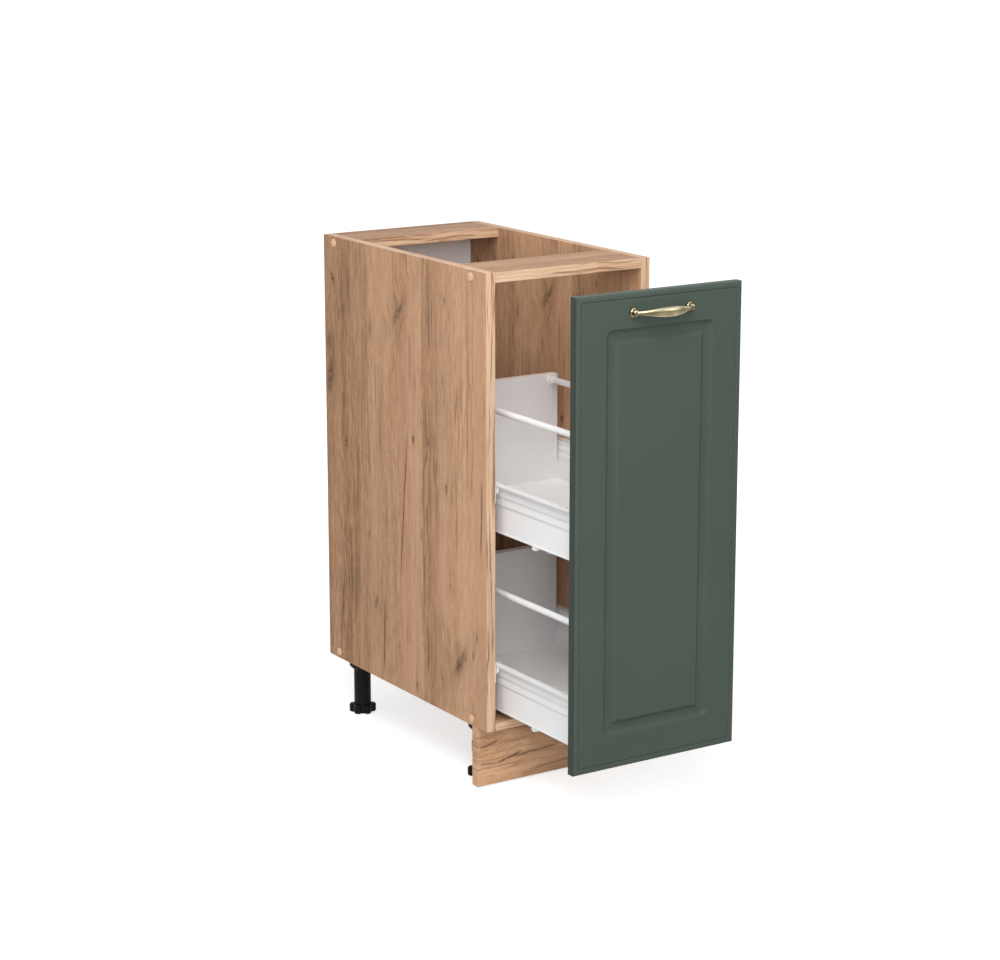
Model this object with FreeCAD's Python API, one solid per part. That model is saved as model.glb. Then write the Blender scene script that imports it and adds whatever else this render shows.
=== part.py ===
import FreeCAD, Part
import math
import os

# Pull-out base cabinet: an oak-decor carcass on adjustable legs, with one tall framed front
# that carries two white steel-sided drawers on roller runners.
# Units are millimetres. The construction frame has x = 0 on the centre line, y = 0 on the
# front edges of the carcass with +y to the back, and z = 0 on the floor.

V = FreeCAD.Vector
X_AXIS = V(1, 0, 0)
Y_AXIS = V(0, 1, 0)
Z_AXIS = V(0, 0, 1)

# Carcass
cabinet_width = 300.0
cabinet_depth = 500.0
carcass_height = 720.0
board = 16.0
edge_rounding = 0.8
back_thickness = 3.0
back_inset = 1.0
front_rail_width = 100.0
rear_rail_width = 88.0

# Carcass connectors
fit_gap = 0.05
connector_length = 50.0
connector_head_radius = 5.0
connector_head_depth = 3.0
connector_neck_radius = 3.5
connector_core_radius = 2.5
connector_cover = 5.0
connector_front = 44.0
connector_rear = 32.0
cap_radius = 6.75
cap_rim = 0.8
cap_dome = 1.2
cap_rings = 4
cap_stem_radius = 1.9
cap_stem_length = 2.5
nail_radius = 0.75
nail_head_radius = 1.8
nail_head = 0.6
nail_length = 20.0
nail_rows = 4
nail_end_margin = 40.0

# Legs and plinth
leg_height = 100.0
leg_inset = 40.0
leg_behind_plinth = 34.6
leg_rear = 41.0
leg_tube_radius = 14.3
leg_bore_radius = 10.0
leg_bore_depth = 26.0
socket_radius = 21.6
socket_mouth_radius = 16.2
socket_height = 22.5
socket_taper = 5.5
socket_floor = 4.0
socket_gap = 0.1
leg_screw_radius = 2.5
leg_screw_head_radius = 5.0
leg_screw_head = 3.0
leg_screw_bite = 6.5
foot_radius = 22.6
foot_height = 15.0
foot_core_radius = 17.5
foot_lobe_radius = 6.6
foot_lobes = 6
foot_lobe_turn = 30.0
foot_chamfer = 2.0
stem_radius = 6.0
stem_length = 35.0
stem_spare = 12.0
moving_gap = 0.3
plinth_setback = 27.4
plinth_floor_gap = 2.6
plinth_top_gap = 0.4
clip_plate_width = 34.0
clip_plate_height = 34.0
clip_plate = 3.0
clip_ring_wall = 1.6
clip_height = 16.0
clip_neck_width = 12.0
clip_mouth = 17.0
clip_z = 50.0
clip_screw_spacing = 24.0

# Wood screws shared by the clips, runners, brackets and drawers
screw_radius = 1.75
screw_head_radius = 3.4
screw_head = 1.8
screw_head_rounding = 0.8
recess_length = 3.6
recess_width = 0.9
recess_depth = 1.1
screw_bite = 11.0
screw_tip_cover = 4.0

# Pull-out front
door_side_gap = 2.0
door_top_gap = 5.0
door_drop = 1.0
door_thickness = 16.0
door_edge_radius = 4.0
door_line_inset = 9.2
door_line_width = 3.4
door_line_depth = 1.3
frame_width = 52.0
groove_width = 22.4
groove_depth = 5.5
groove_corner_radius = 10.5
groove_cove_width = 10.0
groove_lip_radius = 0.8
groove_lip_share = 0.15
field_slope = 6.3
door_screw_cover = 1.5
rest_opening = 218.0
closed_gap = 2.0

# Handle
handle_spacing = 100.0
handle_drop = 29.5
handle_reach = 22.0
handle_end_reach = 7.2
boss_radius = 7.7
boss_rim = 1.2
boss_neck_radius = 4.3
boss_neck_height = 3.4
boss_head_radius = 5.3
boss_head_height = 7.0
boss_height = 10.8
boss_flat_radius = 1.5
grip_half_height = 8.1
grip_half_depth = 5.6
grip_end_radius = 3.1
grip_swell_power = 1.4
grip_sections = 11
handle_screw_radius = 2.0
handle_screw_head_radius = 4.0
handle_screw_head = 2.5
handle_screw_bite = 8.0
handle_screw_gap = 0.25

# Drawers
drawer_lift = 11.5
drawer_pitch = 286.5
side_space = 15.5
side_rear_space = 47.0
side_height = 80.0
steel = 1.2
side_rib_drops = (38.5, 24.5, 12.5)
side_rib_step = 1.25
side_rib_rise = 5.0
side_rib_lean = 0.6
side_foot_flare = 0.6
side_foot_low = 1.6
side_foot_high = 4.0
flange_hem = 2.4
lip_width = 12.0
base_tail = 7.0
back_height = 192.0
rear_tab_width = 18.5
rear_tab_low = 20.0
rear_tab_high = 62.0
rear_tab_screw_margin = 10.0
base_screw_front = 45.0
base_screw_rear = 43.0
base_screw_count = 3
base_clip_place = 140.0
base_clip_radius = 6.4
base_clip_drop = 8.5
base_clip_rounding = 4.0
base_clip_stud_radius = 2.4
base_clip_stud_bite = 8.0

# Front brackets
bracket_plate_width = 22.0
bracket_thickness = 2.0
bracket_length = 70.0
bracket_clear = 1.0
bracket_rise = 6.5
bracket_fall = 5.0
bracket_shoulder = 12.0
bracket_bend = 26.0
bracket_bend_drop = 1.5
bracket_run_out = 50.0
bracket_screw_low_margin = 14.0
bracket_screw_high_margin = 20.0

# Gallery rails
rail_radius = 5.0
rail_inset = 13.9
rail_drop = 7.7
rail_socket_radius = 6.8
rail_socket_length = 10.0
rail_socket_flange_radius = 8.0
rail_socket_flange = 2.0
rail_peg_radius = 4.0
rail_peg_length = 8.0

# Runners and rollers
runner_setback = 1.0
runner_gauge = 1.2
runner_gap = 0.8
runner_flange_gap = 1.3
runner_tab = 12.0
runner_screw_first = 37.0
runner_screw_pitch = 192.0
runner_screw_end = 20.0
runner_stop_height = 4.9
roller_radius = 8.0
roller_edge = 0.8
roller_tyre = 1.8
roller_hub_radius = 3.6
roller_dish = 1.2
roller_side_gap = 1.0
roller_hem_gap = 0.5
roller_front_margin = 1.5
roller_rear_margin = 2.0
roller_top_gap = 0.4
roller_bore_gap = 0.05
roller_pin_radius = 2.0
roller_collar_radius = 3.5
runner_overlap = 110.0

# Derived places of the carcass
half_width = cabinet_width / 2
inner_half = half_width - board
carcass_top = leg_height + carcass_height
side_depth = cabinet_depth - back_thickness
bottom_top = leg_height + board
rail_under = carcass_top - board
plinth_back = plinth_setback + board
leg_front = plinth_back + leg_behind_plinth
leg_places = {
    "front_left": V(leg_inset - half_width, leg_front, 0),
    "front_right": V(half_width - leg_inset, leg_front, 0),
    "rear_left": V(leg_inset - half_width, cabinet_depth - leg_rear, 0),
    "rear_right": V(half_width - leg_inset, cabinet_depth - leg_rear, 0),
}
socket_floor_z = leg_height - socket_floor

# Derived places of the pull-out: its own y = 0 is the back face of the front
pull_y = -(rest_opening + closed_gap)
door_half = half_width - door_side_gap
door_bottom = leg_height - door_drop
door_top = carcass_top - door_top_gap
groove_half = door_half - frame_width
groove_low = door_bottom + frame_width
groove_high = door_top - frame_width
field_half = groove_half - groove_width
field_low = groove_low + groove_width
field_high = groove_high - groove_width
groove_lip = min(groove_lip_radius, groove_lip_share * groove_depth)
handle_z = door_top - handle_drop
drawer_floors = {
    "lower": bottom_top + drawer_lift,
    "upper": bottom_top + drawer_lift + drawer_pitch,
}
wall_inner = inner_half - side_space
crest_outer = wall_inner + len(side_rib_drops) * side_rib_step + side_rib_lean + steel
side_length = side_depth - side_rear_space
base_length = side_length - base_tail
base_top = steel + board
back_front = base_length - board
rail_x = wall_inner - rail_inset
rail_height = back_height - rail_drop
bracket_low = base_top + bracket_clear
bracket_high = side_height + bracket_rise

# Derived places of the runners, with heights above each drawer's floor line
runner_length = side_length
max_opening = side_length - runner_overlap
web_inner = inner_half - runner_gauge
flange_tip = web_inner - runner_flange_gap
runner_tip = crest_outer + runner_gap
roller_inner = crest_outer + roller_side_gap
roller_outer = flange_tip - steel - roller_hem_gap
front_roller_y = runner_setback + roller_front_margin + roller_radius
front_roller_z = side_height - steel - moving_gap - roller_radius
rear_roller_y = side_length - roller_rear_margin - roller_radius
channel_top = side_height + runner_gap
rear_roller_z = channel_top - roller_top_gap - roller_radius
channel_floor = rear_roller_z - roller_radius - moving_gap
runner_low = channel_floor - runner_gauge - runner_tab
runner_screw_z = channel_floor - runner_gauge - runner_tab / 2

# The part's origin is under the middle of its rest pose, handle included
grip_front = handle_reach + grip_half_depth
front_most = pull_y - door_thickness - grip_front
origin_y = (front_most + cabinet_depth) / 2

os.makedirs("parts", exist_ok=True)


def block(x0, x1, y0, y1, z0, z1):
    return Part.makeBox(x1 - x0, y1 - y0, z1 - z0, V(x0, y0, z0))


def rounded_board(x0, x1, y0, y1, z0, z1, along=None):
    """Board with rounded edges: all of them, or only those along one direction."""
    shape = block(x0, x1, y0, y1, z0, z1)
    edges = shape.Edges
    if along:
        edges = [e for e in edges if abs(e.tangentAt(e.FirstParameter).dot(along)) > fit_gap]
    return shape.makeFillet(edge_rounding, edges)


def rod(radius, start, direction, length):
    return Part.makeCylinder(radius, length, start, direction)


def mirrored(shape):
    return shape.mirror(V(0, 0, 0), X_AXIS)


def both_sides(shapes):
    return shapes + [mirrored(shape) for shape in shapes]


def cut_all(shape, cutters):
    return shape.cut(Part.makeCompound(cutters))


def pulled(shape):
    """A piece of the pull-out, moved from its own frame to the rest opening."""
    return shape.translated(V(0, pull_y, 0))


def save(name, shape):
    solids = shape if isinstance(shape, list) else [shape]
    whole = solids[0] if len(solids) == 1 else Part.makeCompound(solids)
    whole.translated(V(0, -origin_y, 0)).exportStep("parts/" + name + ".step")


def polygon_prism(points, direction):
    """Prism on a closed outline of points, along a direction vector."""
    return Part.Face(Part.makePolygon(points + [points[0]])).extrude(direction)


def cross_recess(top, direction):
    """Cutter of a cross recess that goes from the top of a screw head along direction."""
    half = recess_length / 2
    slot = block(-half, half, -recess_width / 2, recess_width / 2, 0, recess_depth)
    cross = slot.fuse(slot.rotated(V(0, 0, 0), Z_AXIS, 90))
    cross.Placement = FreeCAD.Placement(top, FreeCAD.Rotation(Z_AXIS, direction))
    return cross


def screw(seat, direction, bite):
    """Pan-head screw whose head sits on the seat point and whose shank runs along direction."""
    shank = rod(screw_radius, seat, direction, bite)
    head = rod(screw_head_radius, seat - direction * screw_head, direction, screw_head)
    outer = [e for e in head.Edges if e.Closed and (e.CenterOfMass - seat).Length > screw_head / 2]
    head = head.makeFillet(screw_head_rounding, outer)
    recess = cross_recess(seat - direction * screw_head, direction)
    return head.fuse(shank).removeSplitter().cut(recess)


def screw_hole(seat, direction, bite):
    return rod(screw_radius + fit_gap, seat, direction, bite + fit_gap)


# Connector screws of the carcass

def connector_seats():
    """Left-hand seats of the connectors on the outer face of the side panel."""
    rise = board - connector_cover
    heights = (leg_height + rise, carcass_top - rise)
    depths = (connector_front, side_depth - connector_rear)
    return [V(-half_width, y, z) for z in heights for y in depths]


def connector_body(seat, gap):
    head = Part.makeCone(
        connector_head_radius + gap, connector_neck_radius + gap, connector_head_depth, seat, X_AXIS
    )
    neck = rod(connector_neck_radius + gap, seat, X_AXIS, board)
    core = rod(connector_core_radius + gap, seat, X_AXIS, connector_length + gap)
    return head.fuse([neck, core])


def connector(seat):
    socket = rod(cap_stem_radius + fit_gap, seat, X_AXIS, cap_stem_length + fit_gap)
    return connector_body(seat, 0).cut(socket).removeSplitter()


def connector_cap(seat):
    """Domed cover cap on the panel's face, turned about the connector's axis."""
    ball_radius = (cap_radius ** 2 + cap_dome ** 2) / (2 * cap_dome)
    dome_turn = math.asin(cap_radius / ball_radius)
    ball_centre = cap_rim + cap_dome - ball_radius

    def at(radius, height):
        return seat + V(-height, radius, 0)

    def on_dome(turn):
        return at(ball_radius * math.sin(turn), ball_centre + ball_radius * math.cos(turn))

    corners = [
        at(0, -cap_stem_length),
        at(cap_stem_radius, -cap_stem_length),
        at(cap_stem_radius, 0),
        at(cap_radius, 0),
        at(cap_radius, cap_rim),
    ]
    edges = [Part.LineSegment(a, b).toShape() for a, b in zip(corners, corners[1:])]
    ring_turn = dome_turn / cap_rings
    for n in range(cap_rings, 0, -1):
        ends = (on_dome(n * ring_turn), on_dome((n - 1) * ring_turn))
        edges.append(Part.Arc(ends[0], on_dome((n - 1 / 2) * ring_turn), ends[1]).toShape())
    edges.append(Part.LineSegment(on_dome(0), corners[0]).toShape())
    return Part.Face(Part.Wire(edges)).revolve(seat, X_AXIS, 360)


def connector_holes():
    return [connector_body(seat, fit_gap) for seat in connector_seats()]


# Nails of the back panel

def nail_seats():
    """Seats on the outer face of the back panel, in the carcass edges behind it."""
    low = leg_height + nail_end_margin
    step = (carcass_height - 2 * nail_end_margin) / (nail_rows - 1)
    column = half_width - board / 2
    rows = [low + row * step for row in range(nail_rows)]
    seats = [V(x, cabinet_depth, z) for x in (-column, column) for z in rows]
    seats.append(V(0, cabinet_depth, leg_height + board / 2))
    seats.append(V(0, cabinet_depth, carcass_top - board / 2))
    return seats


def nail(seat, gap):
    head = rod(nail_head_radius + gap, seat, -Y_AXIS, nail_head + gap)
    return head.fuse(rod(nail_radius + gap, seat, -Y_AXIS, nail_length + gap)).removeSplitter()


def nail_holes():
    return [nail(seat, fit_gap) for seat in nail_seats()]


# Runner screws, on the left-hand side

def runner_screw_seats(floor):
    first = runner_setback + runner_screw_first
    spare = runner_length - runner_screw_first - runner_screw_end
    count = int(spare // runner_screw_pitch) + 1
    places = [first + n * runner_screw_pitch for n in range(count)]
    return [V(-web_inner, y, floor + runner_screw_z) for y in places]


def runner_screw_bite():
    return runner_gauge + board - screw_tip_cover


def runner_screw_holes():
    holes = []
    for floor in drawer_floors.values():
        for seat in runner_screw_seats(floor):
            holes.append(screw_hole(seat, -X_AXIS, runner_screw_bite()))
    return holes


# Carcass boards

def make_side_panels():
    left = rounded_board(-half_width, -inner_half, 0, side_depth, leg_height, carcass_top)
    left = cut_all(left, connector_holes() + nail_holes() + runner_screw_holes())
    save("side_panel_left", left)
    save("side_panel_right", mirrored(left))


def make_bottom_panel():
    panel = rounded_board(-inner_half, inner_half, 0, side_depth, leg_height, bottom_top, X_AXIS)
    leg_holes = [leg_screw_shank(place, fit_gap) for place in leg_places.values()]
    save("bottom_panel", cut_all(panel, both_sides(connector_holes()) + nail_holes() + leg_holes))


def make_top_rails():
    holes = both_sides(connector_holes()) + nail_holes()
    places = {
        "front": (0, front_rail_width),
        "rear": (side_depth - rear_rail_width, side_depth),
    }
    for name, (y0, y1) in places.items():
        rail = rounded_board(-inner_half, inner_half, y0, y1, rail_under, carcass_top, X_AXIS)
        save("top_rail_" + name, cut_all(rail, holes))


def make_back_panel():
    edge = half_width - back_inset
    low = leg_height + back_inset
    high = carcass_top - back_inset
    panel = block(-edge, edge, side_depth, cabinet_depth, low, high)
    save("back_panel", cut_all(panel, nail_holes()))
    save("back_panel_nails", [nail(seat, 0) for seat in nail_seats()])


def make_connectors():
    save("connector_screws", both_sides([connector(seat) for seat in connector_seats()]))
    save("connector_caps", both_sides([connector_cap(seat) for seat in connector_seats()]))


# Legs

def leg_screw_shank(place, gap):
    length = socket_floor + leg_screw_bite
    return rod(leg_screw_radius + gap, place + Z_AXIS * socket_floor_z, Z_AXIS, length + gap)


def leg_socket(place):
    mouth = place + Z_AXIS * (leg_height - socket_height)
    skirt = Part.makeCone(socket_mouth_radius, socket_radius, socket_taper, mouth, Z_AXIS)
    barrel = rod(socket_radius, mouth + Z_AXIS * socket_taper, Z_AXIS, socket_height - socket_taper)
    bore = rod(leg_tube_radius + socket_gap, mouth, Z_AXIS, socket_height - socket_floor)
    return cut_all(skirt.fuse(barrel), [bore, leg_screw_shank(place, fit_gap)])


def leg_screw(place):
    head_low = place + Z_AXIS * (socket_floor_z - leg_screw_head)
    head = rod(leg_screw_head_radius, head_low, Z_AXIS, leg_screw_head)
    whole = head.fuse(leg_screw_shank(place, 0)).removeSplitter()
    return whole.cut(cross_recess(head_low, Z_AXIS))


def leg_tube(place):
    low = foot_height + moving_gap
    tube = rod(leg_tube_radius, place + Z_AXIS * low, Z_AXIS, socket_floor_z - low)
    stem_bore = rod(stem_radius + moving_gap, place + Z_AXIS * low, Z_AXIS, stem_length + stem_spare)
    head_bore = rod(leg_bore_radius, place + Z_AXIS * socket_floor_z, -Z_AXIS, leg_bore_depth)
    return cut_all(tube, [stem_bore, head_bore])


def chamfered_disc(radius, place):
    """Upright disc of the foot's height, chamfered at both ends."""
    points = [
        V(0, 0, 0),
        V(radius - foot_chamfer, 0, 0),
        V(radius, 0, foot_chamfer),
        V(radius, 0, foot_height - foot_chamfer),
        V(radius - foot_chamfer, 0, foot_height),
        V(0, 0, foot_height),
    ]
    face = Part.Face(Part.makePolygon(points + [points[0]]))
    return face.revolve(V(0, 0, 0), Z_AXIS, 360).translated(place)


def levelling_foot(place):
    lobe_ring = foot_radius - foot_lobe_radius
    lobes = []
    for n in range(foot_lobes):
        turn = 2 * math.pi * n / foot_lobes + math.radians(foot_lobe_turn)
        lobe_place = place + V(math.cos(turn), math.sin(turn), 0) * lobe_ring
        lobes.append(chamfered_disc(foot_lobe_radius, lobe_place))
    stem = rod(stem_radius, place, Z_AXIS, foot_height + stem_length)
    return chamfered_disc(foot_core_radius, place).fuse(lobes + [stem]).removeSplitter()


def make_legs():
    places = leg_places.values()
    save("leg_sockets", [leg_socket(place) for place in places])
    save("leg_screws", [leg_screw(place) for place in places])
    save("leg_tubes", [leg_tube(place) for place in places])
    for name, place in leg_places.items():
        save("foot_" + name, levelling_foot(place))


# Plinth

def clip_screw_seats():
    place = leg_places["front_left"]
    y = plinth_back + clip_plate
    return [V(place.x, y, clip_z + side * clip_screw_spacing / 2) for side in (-1, 1)]


def clip_screw_bite():
    return clip_plate + screw_bite


def clip_screw_holes():
    return [screw_hole(seat, -Y_AXIS, clip_screw_bite()) for seat in clip_screw_seats()]


def plinth_clip():
    place = leg_places["front_left"]
    low = clip_z - clip_height / 2
    bore = leg_tube_radius + socket_gap
    outer = bore + clip_ring_wall

    def slab(width, height, y0, y1):
        x0 = place.x - width / 2
        z0 = clip_z - height / 2
        return block(x0, x0 + width, y0, y1, z0, z0 + height)

    plate = slab(clip_plate_width, clip_plate_height, plinth_back, plinth_back + clip_plate)
    neck = slab(clip_neck_width, clip_height, plinth_back, place.y - bore)
    ring = rod(outer, place + Z_AXIS * low, Z_AXIS, clip_height)
    inside = rod(bore, place + Z_AXIS * low, Z_AXIS, clip_height)
    mouth = slab(clip_mouth, clip_height, place.y, place.y + outer)
    clip = plate.fuse([neck, ring])
    return cut_all(clip, [inside, mouth] + clip_screw_holes()).removeSplitter()


def make_plinth():
    height = leg_height - plinth_top_gap
    plinth = rounded_board(-half_width, half_width, plinth_setback, plinth_back, plinth_floor_gap, height)
    save("plinth_board", cut_all(plinth, both_sides(clip_screw_holes())))
    save("plinth_clips", both_sides([plinth_clip()]))
    clip_screws = [screw(seat, -Y_AXIS, clip_screw_bite()) for seat in clip_screw_seats()]
    save("plinth_clip_screws", both_sides(clip_screws))


# Runners and rollers, built on the left and mirrored

def runner(floor):
    y0 = runner_setback
    y1 = runner_setback + runner_length
    shelf = floor + channel_floor
    roof = floor + channel_top

    def flange(start, end, low, high):
        return block(-inner_half, -runner_tip, start, end, low, high)

    web = block(-inner_half, -web_inner, y0, y1, floor + runner_low, roof + runner_gauge)
    shelf_start = front_roller_y + roller_radius + roller_front_margin
    front_stop = stop_face(rear_roller_y - max_opening - closed_gap, -1)
    rear_stop = stop_face(rear_roller_y - closed_gap, 1)
    flanges = [
        flange(y0, y1, roof, roof + runner_gauge),
        flange(shelf_start, y1, shelf - runner_gauge, shelf),
        flange(front_stop - runner_gauge, front_stop, shelf, shelf + runner_stop_height),
        flange(rear_stop, rear_stop + runner_gauge, shelf, shelf + runner_stop_height),
    ]
    profile = web.fuse(flanges)
    pin_place = V(-inner_half, front_roller_y, floor + front_roller_z)
    pin_hole = rod(roller_pin_radius + fit_gap, pin_place, X_AXIS, runner_gauge)
    screw_holes = [screw_hole(seat, -X_AXIS, runner_screw_bite()) for seat in runner_screw_seats(floor)]
    return cut_all(profile, [pin_hole] + screw_holes).removeSplitter()


def stop_face(roller_y, side):
    """Where a stop's face meets the roller at the end of its travel, on one side of the roller."""
    rise = roller_radius + moving_gap - runner_stop_height
    reach = math.sqrt(roller_radius ** 2 - rise ** 2) + moving_gap
    return roller_y + side * reach


def roller(y, z):
    """Roller on the left, with chamfered rims and dished faces, around its pin."""
    start = V(-roller_outer, y, z)
    width = roller_outer - roller_inner
    wheel = rod(roller_radius, start, X_AXIS, width)
    rims = [e for e in wheel.Edges if e.Closed and abs(e.Curve.Radius - roller_radius) < fit_gap]
    wheel = wheel.makeChamfer(roller_edge, rims)
    cuts = [rod(roller_pin_radius + roller_bore_gap, start, X_AXIS, width)]
    for dish_start in (start, start + X_AXIS * (width - roller_dish)):
        dish = rod(roller_radius - roller_tyre, dish_start, X_AXIS, roller_dish)
        cuts.append(dish.cut(rod(roller_hub_radius, dish_start, X_AXIS, roller_dish)))
    return cut_all(wheel, cuts)


def front_roller_pin(floor):
    root = V(-inner_half, front_roller_y, floor + front_roller_z)
    pin = rod(roller_pin_radius, root, X_AXIS, inner_half - roller_inner - moving_gap)
    collar_length = web_inner - roller_outer - moving_gap
    collar = rod(roller_collar_radius, V(-web_inner, root.y, root.z), X_AXIS, collar_length)
    return pin.fuse(collar).removeSplitter()


def rear_roller_pin(floor):
    bite = steel + side_rib_lean
    root = V(bite - crest_outer, rear_roller_y, floor + rear_roller_z)
    pin = rod(roller_pin_radius, root, -X_AXIS, roller_outer - crest_outer + bite - moving_gap)
    collar_start = V(-crest_outer, root.y, root.z)
    collar = rod(roller_collar_radius, collar_start, -X_AXIS, roller_side_gap - moving_gap)
    return pin.fuse(collar).removeSplitter()


def make_runners():
    screws = []
    front_pins = []
    rear_pins = []
    for level, floor in drawer_floors.items():
        left = runner(floor)
        save("runner_" + level + "_left", left)
        save("runner_" + level + "_right", mirrored(left))
        wheel = roller(front_roller_y, floor + front_roller_z)
        save("front_roller_" + level + "_left", wheel)
        save("front_roller_" + level + "_right", mirrored(wheel))
        wheel = pulled(roller(rear_roller_y, floor + rear_roller_z))
        save("rear_roller_" + level + "_left", wheel)
        save("rear_roller_" + level + "_right", mirrored(wheel))
        screws += [screw(seat, -X_AXIS, runner_screw_bite()) for seat in runner_screw_seats(floor)]
        front_pins.append(front_roller_pin(floor))
        rear_pins.append(pulled(rear_roller_pin(floor)))
    save("runner_screws", both_sides(screws))
    save("front_roller_pins", both_sides(front_pins))
    save("rear_roller_pins", both_sides(rear_pins))


# Front panel

def cove_profile(along_u, corner):
    """Section of the groove's outer cove at a corner of the routed frame, with u inwards from the edge."""
    floor = Y_AXIS * groove_depth
    curve = (groove_cove_width ** 2 + groove_depth ** 2) / (2 * groove_depth)
    half_turn = math.asin(groove_cove_width / curve) / 2
    middle_u = groove_cove_width - curve * math.sin(half_turn)
    middle = corner + along_u * middle_u + floor - Y_AXIS * (curve * (1 - math.cos(half_turn)))
    cove_end = corner + along_u * groove_cove_width + floor
    inside = corner + along_u * groove_corner_radius
    edges = [
        Part.Arc(corner, middle, cove_end).toShape(),
        Part.LineSegment(cove_end, inside + floor).toShape(),
        Part.LineSegment(inside + floor, inside).toShape(),
        Part.LineSegment(inside, corner).toShape(),
    ]
    return Part.Face(Part.Wire(edges))


def coved_pocket():
    """Cutter of a rectangular pocket with a coved wall and round corners, as deep as the groove."""
    front = -door_thickness
    reach = groove_corner_radius
    inner_x = groove_half - reach
    long_side = groove_high - groove_low - 2 * reach
    pocket = [block(-inner_x, inner_x, front, front + groove_depth, groove_low + reach, groove_high - reach)]
    for side in (-1, 1):
        upright = cove_profile(-X_AXIS * side, V(side * groove_half, front, groove_low + reach))
        pocket.append(upright.extrude(Z_AXIS * long_side))
        for z, inwards in ((groove_low, Z_AXIS), (groove_high, -Z_AXIS)):
            centre = V(side * inner_x, front, z + inwards.z * reach)
            quarter = cove_profile(inwards, V(side * inner_x, front, z))
            pocket.append(quarter.revolve(centre, Y_AXIS, -90 * side * inwards.z))
    for z, inwards in ((groove_low, Z_AXIS), (groove_high, -Z_AXIS)):
        level = cove_profile(inwards, V(-inner_x, front, z))
        pocket.append(level.extrude(X_AXIS * 2 * inner_x))
    return pocket[0].fuse(pocket[1:]).removeSplitter()


def frustum(front, back, front_inset, back_inset):
    """Solid between two rectangles parallel to the front panel, each at its inset from the panel's edges."""
    wires = []
    for y, inset in ((front, front_inset), (back, back_inset)):
        half = door_half - inset
        low = door_bottom + inset
        high = door_top - inset
        points = [V(-half, y, low), V(half, y, low), V(half, y, high), V(-half, y, high)]
        wires.append(Part.makePolygon(points + [points[0]]))
    return Part.makeLoft(wires, True, True)


def door_milling():
    """Cutter of the routed frame: a coved groove round a raised field."""
    front = -door_thickness
    field_inset = frame_width + groove_width
    field = frustum(front, front + groove_depth, field_inset, field_inset - field_slope)
    return coved_pocket().cut(field)


def door_line():
    """Cutter of the narrow line scribed all round the front, near its edges."""
    front = -door_thickness
    back = front + door_line_depth
    reach = door_line_width / 2
    outside = frustum(front, back, door_line_inset - reach, door_line_inset)
    return outside.cut(frustum(front, back, door_line_inset + reach, door_line_inset))


def lies_at(edge, y):
    """True for an edge that lies wholly in the plane at y."""
    bounds = edge.BoundBox
    return abs(bounds.YMin - y) < fit_gap and abs(bounds.YMax - y) < fit_gap


def within(edge, half, low, high):
    """True for an edge inside a centred rectangle of the front, its outline included."""
    bounds = edge.BoundBox
    reach = max(-bounds.XMin, bounds.XMax)
    return reach < half + fit_gap and bounds.ZMin > low - fit_gap and bounds.ZMax < high + fit_gap


def door_blank():
    front = -door_thickness
    slab = block(-door_half, door_half, front, 0, door_bottom, door_top)
    rim = [e for e in slab.Edges if lies_at(e, front)]
    return slab.makeFillet(door_edge_radius, rim).cut(door_line())


def handle_screw_seats():
    return [V(side * handle_spacing / 2, 0, handle_z) for side in (-1, 1)]


def make_door():
    door = door_blank().cut(door_milling())
    front_edges = [e for e in door.Edges if lies_at(e, -door_thickness)]
    inner_edges = [e for e in front_edges if within(e, groove_half, groove_low, groove_high)]
    lip = [e for e in inner_edges if not within(e, field_half, field_low, field_high)]
    door = door.makeFillet(groove_lip, lip)
    handle_hole = handle_screw_radius + handle_screw_gap
    holes = [rod(handle_hole, seat, -Y_AXIS, door_thickness) for seat in handle_screw_seats()]
    for floor in drawer_floors.values():
        left = [screw_hole(seat, -Y_AXIS, bracket_screw_bite()) for seat in bracket_screw_seats(floor)]
        left.append(rail_peg(V(-rail_x, 0, floor + rail_height), -Y_AXIS, fit_gap))
        holes += both_sides(left)
    save("door_front", pulled(cut_all(door, holes)))


# Handle

def handle_boss(x):
    """Spool-shaped boss, turned about the screw axis."""
    foot = V(x, -door_thickness, handle_z)

    def at(radius, height):
        return foot + Z_AXIS * radius - Y_AXIS * height

    waist = at(boss_neck_radius, boss_neck_height)
    bulge = math.sin(math.pi / 4)
    crown = at(
        boss_flat_radius + (boss_head_radius - boss_flat_radius) * bulge,
        boss_head_height + (boss_height - boss_head_height) * bulge,
    )
    edges = [
        Part.LineSegment(at(0, 0), at(boss_radius, 0)).toShape(),
        Part.LineSegment(at(boss_radius, 0), at(boss_radius, boss_rim)).toShape(),
        Part.Arc(at(boss_radius, boss_rim), waist, at(boss_head_radius, boss_head_height)).toShape(),
        Part.Arc(at(boss_head_radius, boss_head_height), crown, at(boss_flat_radius, boss_height)).toShape(),
        Part.LineSegment(at(boss_flat_radius, boss_height), at(0, boss_height)).toShape(),
        Part.LineSegment(at(0, boss_height), at(0, 0)).toShape(),
    ]
    return Part.Face(Part.Wire(edges)).revolve(foot, Y_AXIS, 360)


def grip_bow():
    """Centre line of the grip: an arc from boss to boss that stands furthest out in the middle."""
    base = -door_thickness
    half = handle_spacing / 2
    ends = [V(side * half, base - handle_end_reach, handle_z) for side in (-1, 1)]
    return Part.Arc(ends[0], V(0, base - handle_reach, handle_z), ends[1])


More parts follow.
